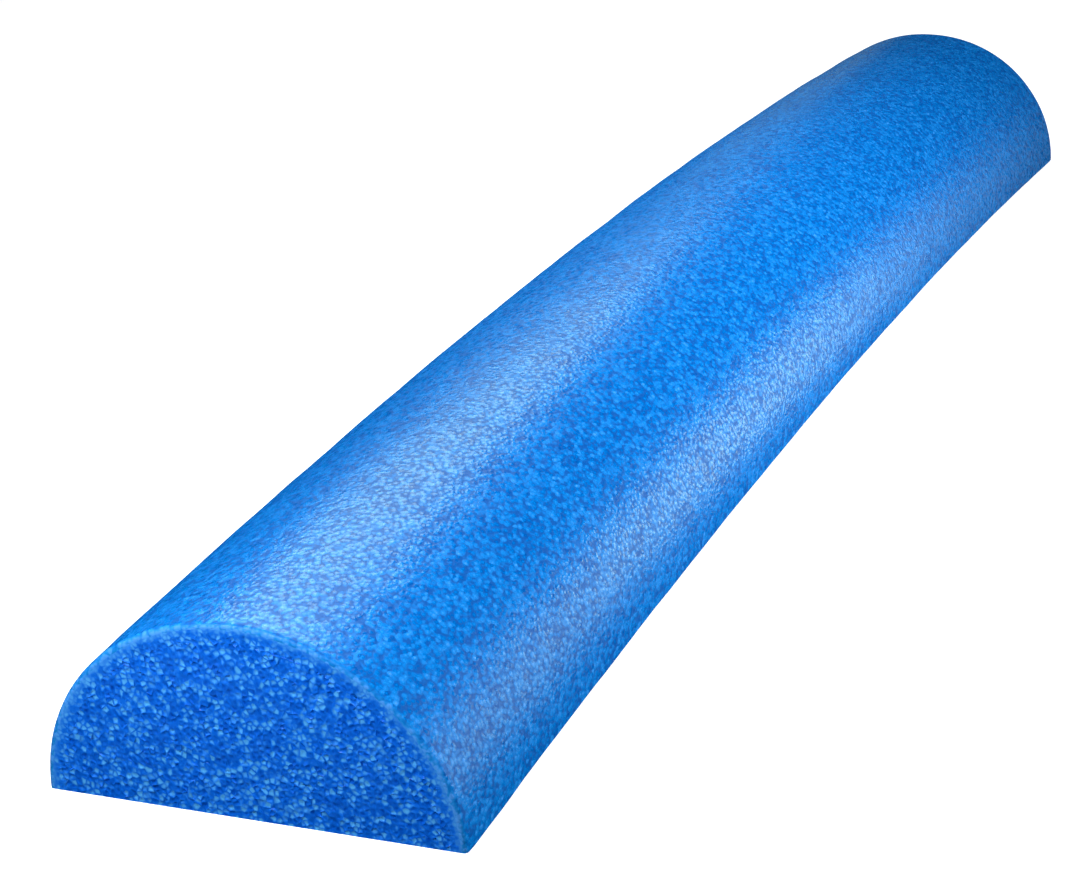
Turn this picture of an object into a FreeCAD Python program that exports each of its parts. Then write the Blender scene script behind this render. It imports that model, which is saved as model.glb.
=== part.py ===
import FreeCAD, Part
import math
import os

# Half-round foam roller: one bar of closed-cell polyethylene foam, cut square at
# both ends. Its section is half of a slightly flattened round, flat side down. The
# skin that formed on the round pulls the flat side hollow along its length, so the
# bar stands on its two ends with its middle a little off the floor.
#
# Row frame, in millimetres: X runs across the roller, Y along it and +Z up.
# The origin is midway between the ends, on the floor.

# Driving dimensions.
LENGTH = 914.4         # along the flat side, end to end (36 in)
WIDTH = 152.4          # across the flat side (6 in)
HEIGHT = 72.0          # from the flat side to the crest
CAMBER = 14.5          # rise of the flat side's middle above its ends
SKIN = 2.0             # smooth closed skin over the curved side only
FINE_LAYER = 5.0       # small dense cells between the skin and the core
RIM_ROUND = 1.5        # rounding where the curved side meets each cut end
BEARING = 4.0          # length at each end that is pressed flat by the floor

# Derived sizes.
HALF_WIDTH = WIDTH / 2.0
BEND_RADIUS = LENGTH ** 2 / (8.0 * CAMBER)
HALF_ANGLE = math.degrees(LENGTH / 2.0 / BEND_RADIUS)
BEARING_DEPTH = BEARING * math.tan(math.radians(HALF_ANGLE))
BEND_AXIS_Z = -BEND_RADIUS * math.cos(math.radians(HALF_ANGLE)) - BEARING_DEPTH

# A cutting solid runs this far past what it cuts, in degrees of bend and in mm.
OVERRUN_ANGLE = 0.05
OVERRUN = 10.0

X_AXIS = FreeCAD.Vector(1, 0, 0)
BEND_AXIS = FreeCAD.Vector(0, 0, BEND_AXIS_Z)


def half_round_bar(depth, extra_angle=0.0, below=0.0):
    """Arched bar with the roller's half-oval section, depth mm inside its surface.

    extra_angle lengthens it at both ends, and below takes its flat side lower.
    """
    base = BEND_AXIS_Z + BEND_RADIUS
    centre = FreeCAD.Vector(0, 0, base)
    right = FreeCAD.Vector(HALF_WIDTH - depth, 0, base)
    left = FreeCAD.Vector(depth - HALF_WIDTH, 0, base)
    crest = FreeCAD.Vector(0, 0, base + HEIGHT - depth)
    oval = Part.Ellipse(right, crest, centre)
    edges = [Part.ArcOfEllipse(oval, 0.0, math.pi).toShape()]
    if below > 0.0:
        drop = FreeCAD.Vector(0, 0, -below)
        corners = [left, left + drop, right + drop, right]
    else:
        corners = [left, right]
    edges += [Part.makeLine(a, b) for a, b in zip(corners, corners[1:])]
    section = Part.Face(Part.Wire(edges))
    half = HALF_ANGLE + extra_angle
    section.rotate(BEND_AXIS, X_AXIS, -half)
    return section.revolve(BEND_AXIS, X_AXIS, 2.0 * half)


def rim_edges(bar):
    """The two half-oval edges where the curved side meets the cut ends."""
    return [edge for edge in bar.Edges if isinstance(edge.Curve, Part.Ellipse)]


# Whole outer form: arched bar, rounded rims, bearing strips flattened at z = 0.
outer = half_round_bar(0.0)
outer = outer.makeFillet(RIM_ROUND, rim_edges(outer))
floor_block = Part.makeBox(
    WIDTH + 2.0 * OVERRUN, LENGTH + 2.0 * OVERRUN, OVERRUN,
    FreeCAD.Vector(-HALF_WIDTH - OVERRUN, -LENGTH / 2.0 - OVERRUN, -OVERRUN))
outer = outer.cut(floor_block)

# The bar is divided into its three layers, which meet face to face.
under_skin = half_round_bar(SKIN, OVERRUN_ANGLE, OVERRUN)
coarse_zone = half_round_bar(SKIN + FINE_LAYER, OVERRUN_ANGLE, OVERRUN)
layers = {
    "foam_core": outer.common(coarse_zone),
    "fine_cell_layer": outer.common(under_skin.cut(coarse_zone)),
    "outer_skin": outer.cut(under_skin),
}

os.makedirs("parts", exist_ok=True)
for node, shape in layers.items():
    assert len(shape.Solids) == 1 and shape.isValid(), node + " is not one valid solid"
    shape.Solids[0].exportStep("parts/" + node + ".step")
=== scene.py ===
import math

import bmesh
import bpy
import numpy as np
from mathutils import Matrix, Vector, noise
from mathutils.geometry import delaunay_2d_cdt
from mathutils.kdtree import KDTree


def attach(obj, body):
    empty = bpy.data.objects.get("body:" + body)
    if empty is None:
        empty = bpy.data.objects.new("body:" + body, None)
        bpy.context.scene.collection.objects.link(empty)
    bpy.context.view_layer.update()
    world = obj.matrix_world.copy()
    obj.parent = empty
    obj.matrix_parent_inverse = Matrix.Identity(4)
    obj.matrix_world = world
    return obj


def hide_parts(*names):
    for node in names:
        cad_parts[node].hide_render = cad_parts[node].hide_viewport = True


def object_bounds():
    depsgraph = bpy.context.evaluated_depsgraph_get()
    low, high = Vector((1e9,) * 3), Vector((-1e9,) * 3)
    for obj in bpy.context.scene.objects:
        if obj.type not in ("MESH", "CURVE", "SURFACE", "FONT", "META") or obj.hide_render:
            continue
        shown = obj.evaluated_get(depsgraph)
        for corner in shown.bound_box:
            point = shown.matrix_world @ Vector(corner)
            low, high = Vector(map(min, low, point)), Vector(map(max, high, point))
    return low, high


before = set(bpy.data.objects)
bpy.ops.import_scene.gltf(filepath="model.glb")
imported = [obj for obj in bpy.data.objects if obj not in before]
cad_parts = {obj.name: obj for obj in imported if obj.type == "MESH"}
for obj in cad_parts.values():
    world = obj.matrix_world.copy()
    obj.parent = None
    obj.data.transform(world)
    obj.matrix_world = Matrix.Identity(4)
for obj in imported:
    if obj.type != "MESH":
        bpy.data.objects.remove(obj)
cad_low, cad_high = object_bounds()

# Half-round foam roller, in metres. It is drawn in three pieces, one for each layer of
# the foam: the smooth skin over the curved side, the fine-celled layer just under it and
# the coarse-celled core. Both cut ends show open cells, which are modelled one by one.
#
# A point of the bar is (x, s, h): x across, s along the flat side from its middle, and
# h above the flat side. bend() turns that into the row's frame, where the bar is arched.

# ---------------------------------------------------------------- sizes, as in the CAD
LENGTH = 0.9144
HEIGHT = 0.072
CAMBER = 0.0145
SKIN = 0.002
FINE_LAYER = 0.005
RIM_ROUND = 0.0015

HALF_WIDTH = cad_high.x
BEND_RADIUS = LENGTH ** 2 / (8 * CAMBER)
BEND_AXIS_Z = cad_high.z - HEIGHT - BEND_RADIUS
HALF_LENGTH = LENGTH / 2


def bend(x, s, h):
    """Points of the straight bar, moved to where the arched bar has them."""
    x, s, h = np.broadcast_arrays(x, s, h)
    turn = s / BEND_RADIUS
    z = BEND_AXIS_Z + (BEND_RADIUS + h) * np.cos(turn)
    return np.stack([x, (BEND_RADIUS + h) * np.sin(turn), np.maximum(z, 0.0)], axis=-1)


def oval(depth, t):
    """(x, h) at angle t on the half oval that lies depth inside the curved side."""
    return (HALF_WIDTH - depth) * np.cos(t), np.maximum((HEIGHT - depth) * np.sin(t), 0.0)


# ------------------------------------------------------------------------ mesh building
SHARP_ANGLE = math.radians(60)         # an edge that turns more than this is left sharp
MERGE_DISTANCE = 1e-6                  # points closer than this become one
CDT_EPSILON = 1e-9                     # tolerance of the flat triangulation


class Mesh:
    """Vertices and faces collected from several surfaces, then made into one piece.

    Each vertex has a tone, which is how light the foam is there with painted shade, glints
    and rim light in it, and an open value, which is 1 where the cells are modelled and 0
    where only the material shows them.
    """

    def __init__(self):
        self.points, self.tones, self.opens, self.faces = [], [], [], []
        self.count = 0

    def add(self, points, tone=0.5, is_open=0.0):
        """Adds points and returns their indices in the same layout."""
        shape = points.shape[:-1]
        self.points.append(points.reshape(-1, 3))
        self.tones.append(np.broadcast_to(tone, shape).reshape(-1))
        self.opens.append(np.broadcast_to(is_open, shape).reshape(-1))
        first = self.count
        self.count += int(np.prod(shape))
        return np.arange(first, self.count).reshape(shape)

    def grid(self, ids):
        """Quads between the rows and columns of a table of indices."""
        quads = np.stack([ids[:-1, :-1], ids[:-1, 1:], ids[1:, 1:], ids[1:, :-1]], -1)
        self.faces += quads.reshape(-1, 4).tolist()

    def zip(self, one, other, one_at, other_at):
        """Triangles between two rows of indices, matched by how far along each one is."""
        i = j = 0
        while i < len(one) - 1 or j < len(other) - 1:
            one_is_next = i < len(one) - 1 and (
                j == len(other) - 1 or one_at[i + 1] <= other_at[j + 1])
            if one_is_next:
                self.faces.append([int(one[i]), int(one[i + 1]), int(other[j])])
                i += 1
            else:
                self.faces.append([int(one[i]), int(other[j + 1]), int(other[j])])
                j += 1

    def piece(self, name, material):
        """The finished object, with its normals outwards and its values as attributes."""
        mesh = bpy.data.meshes.new(name)
        mesh.from_pydata(np.concatenate(self.points).tolist(), [], self.faces)
        for label, values in (("tone", self.tones), ("open", self.opens)):
            layer = mesh.attributes.new(label, "FLOAT", "POINT")
            layer.data.foreach_set("value", np.concatenate(values).astype(np.float32))
        mesh.polygons.foreach_set("use_smooth", [True] * len(mesh.polygons))
        mesh.materials.append(material)
        bm = bmesh.new()
        bm.from_mesh(mesh)
        bmesh.ops.remove_doubles(bm, verts=bm.verts, dist=MERGE_DISTANCE)
        bmesh.ops.recalc_face_normals(bm, faces=bm.faces)
        for edge in bm.edges:
            edge.smooth = edge.calc_face_angle(0.0) < SHARP_ANGLE
        bm.to_mesh(mesh)
        bm.free()
        obj = bpy.data.objects.new(name, mesh)
        bpy.context.scene.collection.objects.link(obj)
        return obj


def wander(points, size):
    """Smooth noise in -1..1 at each point, with bumps about size across."""
    flat = (points / size).reshape(-1, 3).tolist()
    return np.array([noise.noise(p) for p in flat]).reshape(points.shape[:-1])


def along(points):
    """How far along a line of points each one is, from 0 to 1."""
    steps = np.linalg.norm(np.diff(points, axis=0), axis=1)
    return np.concatenate([[0.0], np.cumsum(steps)]) / steps.sum()


# ---------------------------------------------------------------- cells on the cut faces
CELL_SMALL, CELL_LARGE = 0.0013, 0.0025    # spacing of neighbouring cells in the core
CELL_SKEW = 1.5                            # over 1, small cells are commoner than large
FINE_CELL = 0.75                           # cells beside the skin, against the core's
CELL_TRIES = 110000
CELL_MARGIN = 0.004                        # cells are also laid this far past the outline
CELL_SHOULDER = 0.55                       # extra points this far out to its corners
CUP_DEPTH = (0.15, 0.42)                   # against half the cell's width
CUP_LEAN = 0.45
WALL_RAGGED = 0.00010                      # the blade drags the thin walls about
FADE_START, FADE_END = 0.0022, 0.0062      # from no open cells, beside the skin, to full
CLEAN_EDGE = 0.0015                        # the blade leaves the flat edge straight
WALL_TONE, TONE_SPREAD = 0.46, 0.07        # tone is how light the cut foam is, with painted shade and glints in it
FLOOR_SHADE_DARKEST, FLOOR_GLINT_RANGE = -0.32, 1.35   # a cup's floor against its walls: painted shade, up to a painted glint
FLOOR_GLINT_SKEW = 1.7                           # over 1, few cups get a painted glint on the floor
EVEN_TONE, EVEN_CONTRAST = 0.5, 0.45       # where the cells fade out, beside the skin
LIGHTEST_TONE = 1.5
PAINTED_RIM_LIGHT, PAINTED_RIM_WIDTH = 0.22, 0.0020        # painted light beside the skin, lifting the band where the rim falls into shade
RING_LAYER, CORE_LAYER = 0, 1              # in the order that they are triangulated in
ARC_STEPS = 240                            # points along a curved edge of a cut face
BASE_STEPS = 160                           # and along a flat one
NEIGHBOURS = 12


def inset(x, h):
    """Roughly how deep a point of the section lies inside the curved side."""
    return (1 - np.hypot(x / HALF_WIDTH, h / HEIGHT)) * (HALF_WIDTH + HEIGHT) / 2


def scatter_cells(rng):
    """Cell centres over the section, no two closer than the cells there are wide."""
    bins = {}
    centres = []
    for u, v, w in rng.random((CELL_TRIES, 3)):
        x = (2 * u - 1) * (HALF_WIDTH + CELL_MARGIN)
        h = v * (HEIGHT + 2 * CELL_MARGIN) - CELL_MARGIN
        depth = inset(x, h)
        if depth < -CELL_MARGIN:
            continue
        grown = min(max((depth - SKIN) / FADE_END, 0.0), 1.0)
        gap = (CELL_SMALL + (CELL_LARGE - CELL_SMALL) * w ** CELL_SKEW) * (
            FINE_CELL + (1 - FINE_CELL) * grown)
        col, row = int(x // CELL_LARGE), int(h // CELL_LARGE)
        near = [cell for a in (-1, 0, 1) for b in (-1, 0, 1)
                for cell in bins.get((col + a, row + b), ())]
        if all((cx - x) ** 2 + (ch - h) ** 2 >= ((gap + other) / 2) ** 2
               for cx, ch, other in near):
            bins.setdefault((col, row), []).append((x, h, gap))
            centres.append((x, h))
    return np.array(centres)


def circumcentres(a, b, c):
    """Centres of the circles through three points each, which are corners of cells."""
    d = 2 * (a[:, 0] * (b[:, 1] - c[:, 1]) + b[:, 0] * (c[:, 1] - a[:, 1])
             + c[:, 0] * (a[:, 1] - b[:, 1]))
    aa, bb, cc = (a ** 2).sum(1), (b ** 2).sum(1), (c ** 2).sum(1)
    x = (aa * (b[:, 1] - c[:, 1]) + bb * (c[:, 1] - a[:, 1]) + cc * (a[:, 1] - b[:, 1])) / d
    y = (aa * (c[:, 0] - b[:, 0]) + bb * (a[:, 0] - c[:, 0]) + cc * (b[:, 0] - a[:, 0])) / d
    return np.stack([x, y], 1)


def cell_walls(centres):
    """Corner points of the cells, the walls that join them, and points inside cells."""
    made = delaunay_2d_cdt([Vector(c) for c in centres], [], [], 0, CDT_EPSILON)
    triangles = np.array(made[2])
    corners = circumcentres(*(centres[triangles[:, k]] for k in range(3)))
    sharing = {}
    around = {}
    for k, (a, b, c) in enumerate(triangles.tolist()):
        for pair in ((a, b), (b, c), (c, a)):
            sharing.setdefault(frozenset(pair), []).append(k)
        for cell in (a, b, c):
            around.setdefault(cell, []).append(k)
    walls = [pair for pair in sharing.values() if len(pair) == 2]
    inner = [centres]
    for cell, ks in around.items():
        inner.append(centres[cell] + CELL_SHOULDER * (corners[ks] - centres[cell]))
    return corners, walls, np.concatenate(inner)


def half_oval(depth, arc_steps, base_steps):
    """Closed outline of the section depth inside the curved side: arc, then flat edge."""
    x, h = oval(depth, np.linspace(0, math.pi, arc_steps + 1))
    h[-1] = 0.0
    flat_x = np.linspace(x[-1], x[0], base_steps + 1)[1:-1]
    return np.stack([np.append(x, flat_x), np.append(h, 0 * flat_x)], 1)


def cut_face(rng):
    """One cut end: its points, their cup depths and tones, and each layer's triangles."""
    centres = scatter_cells(rng)
    corners, walls, inner = cell_walls(centres)
    outer_edge, core_edge = (half_oval(depth, ARC_STEPS, BASE_STEPS)
                             for depth in (SKIN, SKIN + FINE_LAYER))
    a, b = HALF_WIDTH + CELL_MARGIN / 2, HEIGHT + CELL_MARGIN / 2

    def near_section(p):
        return (np.hypot(p[:, 0] / a, p[:, 1] / b) < 1) & (p[:, 1] > -CELL_MARGIN / 2)

    is_used = near_section(corners)
    number = np.cumsum(is_used) - 1
    lines = [(int(number[p]), int(number[q])) for p, q in walls
             if is_used[p] and is_used[q]]
    groups = [corners[is_used], inner[near_section(inner)], outer_edge, core_edge]
    starts = np.cumsum([0] + [len(group) for group in groups])
    arc = ARC_STEPS + 1
    outer_ids = list(range(starts[2], starts[3]))
    core_ids = list(range(starts[3], starts[4]))
    ring_ids = outer_ids[:arc] + core_ids[:arc][::-1]
    points = [Vector(p) for group in groups for p in group]
    made = delaunay_2d_cdt(points, lines, [ring_ids, core_ids], 0, CDT_EPSILON)

    points = np.array([[p.x, p.y] for p in made[0]])
    layers = {RING_LAYER: [], CORE_LAYER: []}
    for face, sources in zip(made[2], made[5]):
        if sources:
            p, q, r = points[list(face)]
            turns_left = (q[0] - p[0]) * (r[1] - p[1]) > (q[1] - p[1]) * (r[0] - p[0])
            layers[sources[0]].append(list(face) if turns_left else list(face)[::-1])
    cup, tone = cup_shapes(rng, centres, points)
    return points, cup, tone, layers


def cup_shapes(rng, centres, points):
    """How deep each point lies below the blade's plane, and its tone, with painted shade
    and glints.
    """
    count = len(centres)
    tree = KDTree(count)
    for k, (x, h) in enumerate(centres):
        tree.insert((x, h, 0), k)
    tree.balance()
    own = np.empty(len(points), int)
    to_wall = np.empty(len(points))
    half = np.empty(count)
    for k, centre in enumerate(centres):
        half[k] = tree.find_n((*centre, 0), 2)[1][2] / 2
    for k, (x, h) in enumerate(points):
        near = np.array([index for _, index, _ in tree.find_n((x, h, 0), NEIGHBOURS)])
        own[k] = near[0]
        away = centres[near[1:]] - centres[near[0]]
        middle = (centres[near[1:]] + centres[near[0]]) / 2
        to_wall[k] = (((middle - (x, h)) * away).sum(1)
                      / np.linalg.norm(away, axis=1)).min()
    inwards = np.clip(to_wall / half[own], 0, 1)
    lean = rng.normal(0.0, CUP_LEAN, (count, 2))[own]
    off = (points - centres[own]) / half[own][:, None]
    full = rng.uniform(*CUP_DEPTH, count)[own] * half[own]
    bowl = np.sqrt(1 - (1 - inwards) ** 2) * (1 + (lean * off).sum(1) * 0.5)
    fade = np.clip((inset(*points.T) - FADE_START) / (FADE_END - FADE_START), 0, 1)
    fade = fade * fade * (3 - 2 * fade)
    ragged = rng.normal(0.0, WALL_RAGGED, len(points)) * (1 - inwards)
    clean_edge = np.clip(points[:, 1] / CLEAN_EDGE, 0, 1)
    cup = (full * bowl + ragged) * fade * clean_edge

    # painted shade on most cup floors, where the hollows fall into shade, and a painted
    # glint on a few
    floor_shade_and_glint = FLOOR_SHADE_DARKEST + FLOOR_GLINT_RANGE * rng.random(count) ** FLOOR_GLINT_SKEW
    tone = WALL_TONE + rng.normal(0.0, TONE_SPREAD, count)[own]
    tone += rng.normal(0.0, TONE_SPREAD, len(points)) + floor_shade_and_glint[own] * inwards
    contrast = EVEN_CONTRAST + (1 - EVEN_CONTRAST) * fade
    tone = EVEN_TONE + (tone - EVEN_TONE) * contrast
    # painted light: the cut foam is made lighter near the skin, where the rim falls into
    # shade and catches highlights
    tone += PAINTED_RIM_LIGHT * np.clip(1 - (inset(*points.T) - SKIN) / PAINTED_RIM_WIDTH, 0, 1)
    return cup, np.clip(tone, 0, LIGHTEST_TONE)


def boundary(triangles):
    """The closed line of vertices round a patch of triangles that all turn left."""
    follows = {}
    for a, b, c in triangles:
        for pair in ((a, b), (b, c), (c, a)):
            if (pair[1], pair[0]) in follows:
                del follows[(pair[1], pair[0])]
            else:
                follows[pair] = True
    after = dict(follows)
    step = {a: b for a, b in after}
    first = next(iter(step))
    line = [first]
    while step[line[-1]] != first:
        line.append(step[line[-1]])
    return line


def cap(mesh, face, layer, end, row_ids, row_points):
    """Adds one layer's part of a cut face and joins it to the nearest row of its sides."""
    points, cup, tone, layers = face
    triangles = np.array(layers[layer])
    used, faces = np.unique(triangles, return_inverse=True)
    faces = faces.reshape(-1, 3)
    at = points[used]
    s = end * (HALF_LENGTH - cup[used])
    ids = mesh.add(bend(at[:, 0], s, at[:, 1]), tone[used], 1.0)
    mesh.faces += ids[faces].tolist()
    line = boundary(faces.tolist())
    corner = np.argmin(np.linalg.norm(at[line] - row_points[0], axis=1))
    line = line[corner:] + line[:corner + 1]
    closed = np.concatenate([row_points, row_points[:1]])
    mesh.zip(ids[line], np.append(row_ids, row_ids[0]), along(at[line]), along(closed))


# ---------------------------------------------------------------------------- materials
def new_material(name):
    material = bpy.data.materials.new(name)
    material.use_nodes = True
    nodes = material.node_tree.nodes
    nodes.clear()
    output = nodes.new("ShaderNodeOutputMaterial")
    shader = nodes.new("ShaderNodeBsdfPrincipled")
    material.node_tree.links.new(shader.outputs[0], output.inputs["Surface"])
    return material, shader


def node(material, kind, **settings):
    """Adds a node. Each setting is an input socket's value or else a property."""
    made = material.node_tree.nodes.new("ShaderNode" + kind)
    for name, value in settings.items():
        if name in made.inputs:
            made.inputs[name].default_value = value
        else:
            setattr(made, name, value)
    return made


def link(material, source, target):
    material.node_tree.links.new(source, target)


def maths(material, operation, *values):
    """A Math node. Each value is a number or the output socket of another node."""
    made = node(material, "Math", operation=operation)
    for socket, value in zip(made.inputs, values):
        if isinstance(value, (int, float)):
            socket.default_value = value
        else:
            link(material, value, socket)
    return made.outputs[0]


def remap(material, source, low, high, to_low, to_high):
    """source taken smoothly from low..high to to_low..to_high, and held past them."""
    made = node(material, "MapRange", interpolation_type="SMOOTHSTEP")
    link(material, source, made.inputs["Value"])
    for socket, value in zip(made.inputs[1:5], (low, high, to_low, to_high)):
        socket.default_value = value
    return made.outputs["Result"]


def ramp(material, source, *stops):
    """A colour ramp fed by source. stops are (position, colour) pairs."""
    made = node(material, "ValToRGB")
    elements = made.color_ramp.elements
    while len(elements) < len(stops):
        elements.new(0.5)
    for element, (position, colour) in zip(elements, stops):
        element.position = position
        element.color = (*colour, 1.0)
    link(material, source, made.inputs["Fac"])
    return made.outputs["Color"]


SKIN_TONE = 0.5                        # the skin's tone away from the rims
SKIN_CELL = 0.0017                     # width of the closed cells that show through it
SKIN_STRETCH = 1.3                     # they are drawn out along the bar
SKIN_GRAIN = 0.0009                    # size of the finer noise over them
SKIN_CLOUD = 0.02                      # size of the slow changes of shade
SKIN_BUMP = 0.00018
DOME_TOP, DOME_FALL = 0.40, 0.9        # each cell's relief: its middle, and its slope
GRAIN_SHARE, CLOUD_SHARE = 0.5, 0.16   # of the noise, in the relief and in the shade
SHADE_OFFSET, SHADE_SCALE = 0.33, 0.8
# painted light along the skin's rims, and their extra roughness
RIM_PAINTED_LIGHT, RIM_DULLER = 1.4, 0.5
GROOVE, TOP = 0.05, 0.40               # relief that is all groove, and all top of a bump
DULL, GLOSSY = 0.46, 0.18              # roughness of the two
CUT_CELL, CUT_SPECK = 0.0019, 0.0014   # on cut faces: textured cells, and noise on all
CUT_WALL, CUT_DEEPEST = 0.28, 0.45     # the textured cells' walls and floors, the floors in painted shade
SPECK_SHARE = 0.5
CUT_BUMP = 0.0006
CUT_ROUGHNESS = 0.38


def skin_material():
    """Smooth skin over small closed cells, each a low bump with a shade of its own.

    Its tone is SKIN_TONE, and rises to 1 at the rims: painted light, a painted highlight
    where the rounded rims catch the light.
    The tops of the bumps are glossy and the grooves between them dull, and the relief is
    also painted into the colour: painted shade in the grooves.
    """
    material, shader = new_material("foam_skin")
    place = node(material, "TexCoord").outputs["Object"]
    drawn_out = node(material, "Mapping", Scale=(1, 1 / SKIN_STRETCH, 1))
    link(material, place, drawn_out.inputs["Vector"])
    cells = node(material, "TexVoronoi", feature="SMOOTH_F1", Scale=1 / SKIN_CELL,
                 Smoothness=0.35)
    fine = node(material, "TexNoise", Scale=1 / SKIN_GRAIN, Detail=1.0)
    for texture in (cells, fine):
        link(material, drawn_out.outputs["Vector"], texture.inputs["Vector"])
    cloud = node(material, "TexNoise", Scale=1 / SKIN_CLOUD, Detail=2.0)
    link(material, place, cloud.inputs["Vector"])

    dome = maths(material, "MULTIPLY_ADD", cells.outputs["Distance"], -DOME_FALL, DOME_TOP)
    relief = maths(material, "MULTIPLY_ADD", fine.outputs["Fac"], GRAIN_SHARE, dome)
    # each cell's own shade is real; the relief added here is painted shade in the grooves,
    # with lighter tops
    grain_and_groove_shade = maths(material, "ADD", cells.outputs["Color"], relief)
    lightness = maths(material, "MULTIPLY_ADD", cloud.outputs["Fac"], CLOUD_SHARE, grain_and_groove_shade)
    lightness = maths(material, "SUBTRACT", lightness, SHADE_OFFSET)
    rim = node(material, "Attribute", attribute_name="tone").outputs["Fac"]
    rim = maths(material, "SUBTRACT", rim, SKIN_TONE)
    # the rims are painted lighter, a painted highlight
    lightness = maths(material, "MULTIPLY_ADD", rim, RIM_PAINTED_LIGHT, lightness)
    lightness = maths(material, "MULTIPLY", lightness, SHADE_SCALE)
    colour = ramp(material, lightness,
                  (0.08, (0.000, 0.098, 0.44)),
                  (0.40, (0.000, 0.188, 0.67)),
                  (0.68, (0.010, 0.257, 0.80)),
                  (0.80, (0.030, 0.285, 0.87)),
                  (1.00, (0.075, 0.350, 0.98)))
    link(material, colour, shader.inputs["Base Color"])
    roughness = remap(material, relief, GROOVE, TOP, DULL, GLOSSY)
    roughness = maths(material, "MULTIPLY_ADD", rim, RIM_DULLER, roughness)
    link(material, roughness, shader.inputs["Roughness"])
    bump = node(material, "Bump", Strength=1.0, Distance=SKIN_BUMP)
    link(material, relief, bump.inputs["Height"])
    link(material, bump.outputs["Normal"], shader.inputs["Normal"])
    return material


def cut_material(name, dark, middle, light):
    """Cut foam: modelled cells take their tone, other cut faces show cells by texture, with
    painted shade in their hollows.
    """
    material, shader = new_material(name)
    place = node(material, "TexCoord").outputs["Object"]
    cells = node(material, "TexVoronoi", feature="DISTANCE_TO_EDGE", Scale=1 / CUT_CELL)
    speck = node(material, "TexNoise", Scale=1 / CUT_SPECK, Detail=1.0, Roughness=0.5)
    for texture in (cells, speck):
        link(material, place, texture.inputs["Vector"])
    tone = node(material, "Attribute", attribute_name="tone").outputs["Fac"]
    is_open = node(material, "Attribute", attribute_name="open").outputs["Fac"]
    closed = maths(material, "SUBTRACT", 1.0, is_open)
    depth = maths(material, "MINIMUM", cells.outputs["Distance"], CUT_DEEPEST)
    wall = maths(material, "SUBTRACT", CUT_WALL, depth)
    # painted shade: each textured cell is darker in its hollow and lighter at its walls
    painted_cell_shade = maths(material, "MULTIPLY", closed, wall)
    speckled = maths(material, "MULTIPLY_ADD", speck.outputs["Fac"],
                     SPECK_SHARE, -SPECK_SHARE / 2)
    lightness = maths(material, "ADD", maths(material, "ADD", tone, painted_cell_shade), speckled)
    link(material, ramp(material, lightness, (0.0, dark), (0.5, middle), (1.0, light)),
         shader.inputs["Base Color"])
    bump = node(material, "Bump", Distance=CUT_BUMP)
    link(material, closed, bump.inputs["Strength"])
    link(material, wall, bump.inputs["Height"])
    link(material, bump.outputs["Normal"], shader.inputs["Normal"])
    shader.inputs["Roughness"].default_value = CUT_ROUGHNESS
    return material


# ------------------------------------------------------------------------------- pieces
ROWS = 46                              # along the bar, on surfaces with no fine relief
SIDE_ARC, SIDE_BASE = 96, 48           # steps round a layer's hidden sides
CAP_LENGTH = 0.004                     # from a cut face to the first row of the sides
SKIN_ROWS, SKIN_COLUMNS = 500, 144
SKIN_WAVES = ((0.045, 0.00030), (0.016, 0.00012))    # (size, height) of its unevenness
RIM_TURNS = np.radians([18, 36, 54, 72, 90])         # steps round a rounded rim
END_SEEDS = ((-1, 11), (1, 23))                      # (end of the bar, seed of its cells)

ends = [(end, cut_face(np.random.default_rng(seed))) for end, seed in END_SEEDS]


def side_rows(mesh, points):
    """Rows of a layer's sides, with its closed outline at the given (x, h) points."""
    reach = HALF_LENGTH - CAP_LENGTH
    s = np.linspace(-reach, reach, ROWS)[:, None]
    ids = mesh.add(bend(points[:, 0], s, points[:, 1]))
    mesh.grid(np.concatenate([ids, ids[:, :1]], axis=1))
    return ids


def build_core():
    mesh = Mesh()
    points = half_oval(SKIN + FINE_LAYER, SIDE_ARC, SIDE_BASE)
    rows = side_rows(mesh, points)
    for (end, face), row in zip(ends, (rows[0], rows[-1])):
        cap(mesh, face, CORE_LAYER, end, row, points)
    return mesh.piece("core_foam", cut_material(
        "coarse_cut_foam", (0.000, 0.072, 0.54), (0.004, 0.158, 0.86), (0.080, 0.43, 1.00)))


def build_fine_layer():
    mesh = Mesh()
    t = np.linspace(0, math.pi, SIDE_ARC + 1)
    outer, inner = (np.stack(oval(depth, t), 1) for depth in (SKIN, SKIN + FINE_LAYER))
    outer[-1, 1] = inner[-1, 1] = 0.0
    points = np.concatenate([outer, inner[::-1]])
    rows = side_rows(mesh, points)
    for (end, face), row in zip(ends, (rows[0], rows[-1])):
        cap(mesh, face, RING_LAYER, end, row, points)
    return mesh.piece("fine_cell_foam", cut_material(
        "fine_cut_foam", (0.000, 0.077, 0.56), (0.006, 0.172, 0.88), (0.085, 0.43, 1.00)))


def skin_point(depth, s, t):
    """A point of the skin's outside, with the slight unevenness of moulded foam."""
    x, h = oval(depth, t)
    true = np.stack(np.broadcast_arrays(x, s, h), -1)
    lift = sum(height * wander(true, size) for size, height in SKIN_WAVES)
    x, h = oval(depth - lift, t)
    return bend(x, s, h)


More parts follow.
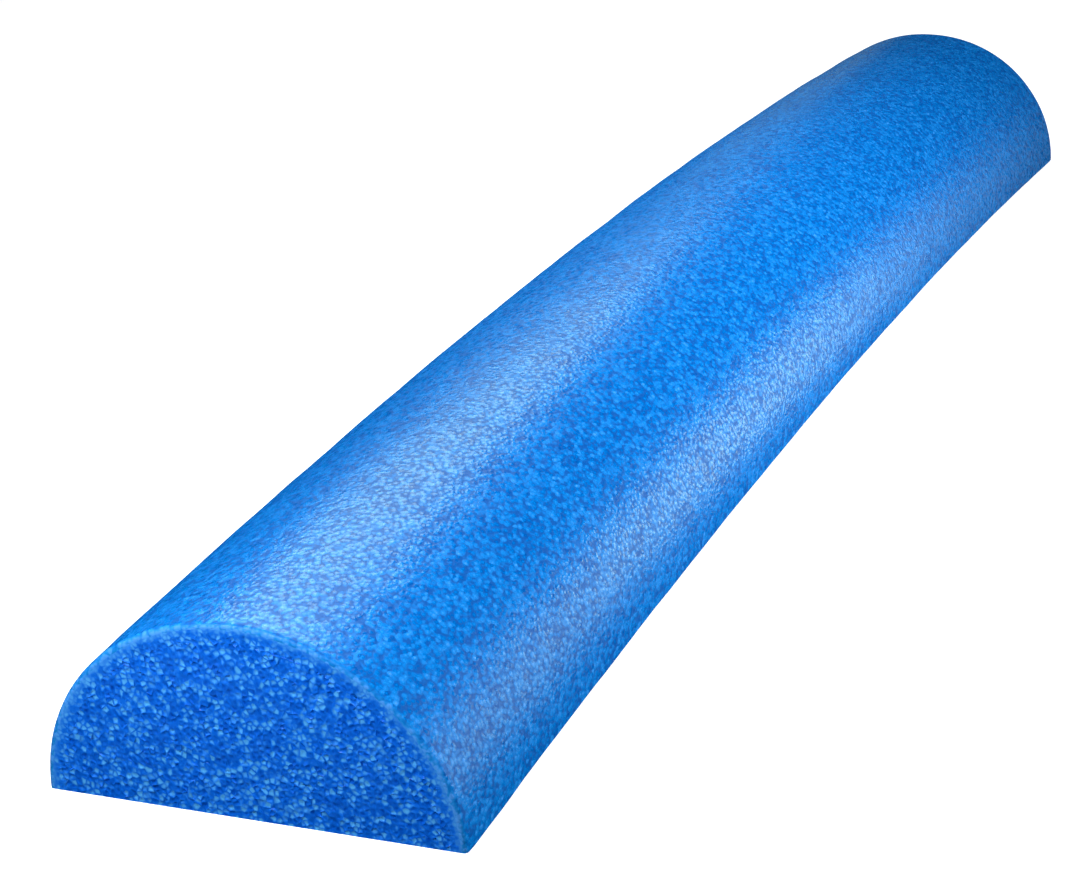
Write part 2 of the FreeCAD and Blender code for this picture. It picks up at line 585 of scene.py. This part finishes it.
def build_skin():
    mesh = Mesh()
    t = np.linspace(0, math.pi, SKIN_COLUMNS + 1)
    outer_s = np.linspace(RIM_ROUND - HALF_LENGTH, HALF_LENGTH - RIM_ROUND, SKIN_ROWS)
    outer = mesh.add(skin_point(0.0, outer_s[:, None], t))
    mesh.grid(outer)
    inner_s = np.linspace(-HALF_LENGTH, HALF_LENGTH, ROWS)
    x, h = oval(SKIN, t)
    # the skin's cut edge takes the full painted rim light
    inner = mesh.add(bend(x, inner_s[:, None], h), 1.0)
    mesh.grid(inner)
    for end, row in ((-1, 0), (1, -1)):
        last = outer[row]
        sides = [[last[0]], [last[-1]]]
        for turn in RIM_TURNS:
            depth = RIM_ROUND * (1 - math.cos(turn))
            s = end * (HALF_LENGTH - RIM_ROUND * (1 - math.sin(turn)))
            # painted light rising round the rounded rim, a painted highlight
            tone = SKIN_TONE + (1 - SKIN_TONE) * math.sin(turn) ** 2
            ids = mesh.add(skin_point(depth, s, t), tone)
            mesh.grid(np.array([last, ids]))
            last = ids
            for side, k in zip(sides, (0, -1)):
                side.append(ids[k])
        mesh.grid(np.array([last, inner[row]]))
        for side, k in zip(sides, (0, -1)):
            mesh.faces.append([int(i) for i in side] + [int(inner[row][k])])
    for k in (0, -1):
        mesh.zip(outer[:, k], inner[:, k], outer_s, inner_s)
    return mesh.piece("skin_shell", skin_material())


core = build_core()
fine = build_fine_layer()
skin = build_skin()
for piece, cad_node, slot_name in (
        (core, "foam_core", "coarse_foam"),
        (fine, "fine_cell_layer", "fine_foam"),
        (skin, "outer_skin", "foam_skin")):
    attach(piece, "root")
    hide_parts(cad_node)

# ------------------------------------------------------------------------------- studio
scene = bpy.context.scene
scene.view_settings.view_transform = "Standard"

# The world is only a white backdrop for the camera: the softboxes light the roller.
world = bpy.data.worlds.new("studio")
world.use_nodes = True
world.node_tree.nodes["Background"].inputs["Color"].default_value = (1, 1, 1, 1)
scene.world = world
world.cycles_visibility.glossy = False
world.cycles_visibility.diffuse = False

FLOOR = 8.0
floor_mesh = bpy.data.meshes.new("floor")
floor_mesh.from_pydata([(-FLOOR, -FLOOR, 0), (FLOOR, -FLOOR, 0), (FLOOR, FLOOR, 0),
                        (-FLOOR, FLOOR, 0)], [], [(0, 1, 2, 3)])
floor = bpy.data.objects.new("floor", floor_mesh)
scene.collection.objects.link(floor)
floor_material, floor_shader = new_material("floor")
floor_shader.inputs["Base Color"].default_value = (0.8, 0.8, 0.8, 1)
floor_shader.inputs["Emission Color"].default_value = (1, 1, 1, 1)
floor_shader.inputs["Emission Strength"].default_value = 0.9
floor_shader.inputs["Specular IOR Level"].default_value = 0.0
floor_mesh.materials.append(floor_material)
floor.visible_diffuse = False
floor.visible_glossy = False
floor.visible_shadow = False

MIDDLE = Vector((0, 0, 0.05))
CENTRE = Vector((0.0, 0.0, 0.05))
NEAR_END = Vector((0, -HALF_LENGTH, 0.04))
FAR_END = Vector((0, HALF_LENGTH, 0.04))
WHITE = (1.0, 1.0, 1.0)
SHEEN = (0.82, 1.00, 0.50)


def softbox(name, aim, azimuth, elevation, distance, size, power, colour, use):
    """A rectangular light aimed at a point. Azimuth is from +Y towards +X, in degrees.

    use is "gloss" for a light that only makes highlights, "fill" for soft light only.
    """
    az, el = math.radians(azimuth), math.radians(elevation)
    outwards = Vector((math.sin(az) * math.cos(el), math.cos(az) * math.cos(el),
                       math.sin(el)))
    light = bpy.data.lights.new(name, "AREA")
    light.shape = "RECTANGLE"
    light.size, light.size_y = size
    light.energy = power
    light.color = colour
    obj = bpy.data.objects.new(name, light)
    obj.location = aim + distance * outwards
    obj.rotation_mode = "QUATERNION"
    obj.rotation_quaternion = (-outwards).to_track_quat("-Z", "Y")
    obj.visible_camera = False
    obj.visible_diffuse = use == "fill"
    obj.visible_glossy = use == "gloss"
    scene.collection.objects.link(obj)


softbox("crest", MIDDLE, -33.0, 52.0, 0.815, (0.60, 0.60), 3.40, SHEEN, "gloss")
softbox("flank", MIDDLE, 33.7, -1, 1.08, (0.25, 0.40), 1.10, SHEEN, "gloss")
softbox("near_flank", MIDDLE, 63.4, -2, 0.67, (0.25, 0.35), 0.38, SHEEN, "gloss")
softbox("back", MIDDLE, -18.3, 2.5, 1.90, (0.30, 0.30), 0.08, SHEEN, "gloss")
softbox("right", CENTRE, 92, 12, 0.70, (0.4, 0.4), 6.4, WHITE, "fill")
softbox("left", CENTRE, -97, 45, 0.70, (0.4, 0.4), 4.4, WHITE, "fill")
softbox("top", CENTRE, 0, 85, 0.70, (0.4, 0.4), 3.0, WHITE, "fill")
softbox("front", MIDDLE, 180, 12, 1.40, (0.4, 0.4), 0.8, WHITE, "fill")
softbox("near_end", NEAR_END, -160, 50, 0.28, (0.2, 0.2), 1.15, WHITE, "fill")
softbox("near_right", NEAR_END, 118, 10, 0.50, (0.2, 0.2), 0.38, WHITE, "fill")
softbox("far_end", FAR_END, 0, -2, 0.60, (0.3, 0.06), 2.4, WHITE, "fill")

# The camera, fitted to the roller's outline.
CAMERA_PLACE = (0.4017, -1.1997, 0.4330)
HEADING, PITCH, ROLL = (math.radians(v) for v in (21.732, -20.067, -1.831))
LENS, SENSOR_WIDTH = 95.22, 36                         # in millimetres
forward = Vector((-math.sin(HEADING) * math.cos(PITCH),
                  math.cos(HEADING) * math.cos(PITCH), math.sin(PITCH)))
level = Vector((math.cos(HEADING), math.sin(HEADING), 0))
upward = level.cross(forward)
right = math.cos(ROLL) * level + math.sin(ROLL) * upward
up = math.cos(ROLL) * upward - math.sin(ROLL) * level
camera = bpy.data.objects.new("camera", bpy.data.cameras.new("camera"))
camera.data.lens = LENS
camera.data.sensor_width = SENSOR_WIDTH
camera.matrix_world = Matrix.Translation(CAMERA_PLACE) @ Matrix(
    (right, up, -forward)).transposed().to_4x4()
scene.collection.objects.link(camera)
scene.camera = camera
